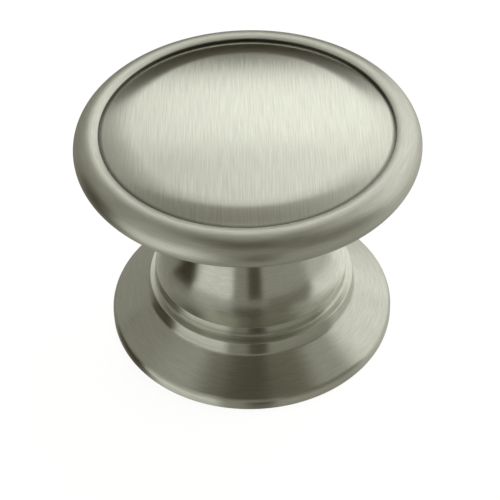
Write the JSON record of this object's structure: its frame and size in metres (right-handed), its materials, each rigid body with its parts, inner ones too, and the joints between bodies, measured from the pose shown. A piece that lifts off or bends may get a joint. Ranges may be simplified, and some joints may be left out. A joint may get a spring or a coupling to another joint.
{
  "type": "cabinet knob",
  "caption": "Round satin metal cabinet knob with a beaded rim, a domed brushed face, a waisted neck and a stepped round base.",
  "frame": {"origin": "centre of the seat, on the plane that rests on the door or drawer front", "axes": "+Z along the knob's axis, from the seat towards the head; X and Y across it, with the face's brush marks along Y"},
  "size_m": [0.032, 0.032, 0.0241],
  "materials": {
    "nickel": "satin"
  },
  "bodies": {
    "root": {"knob": "nickel"}
  },
  "joints": []
}
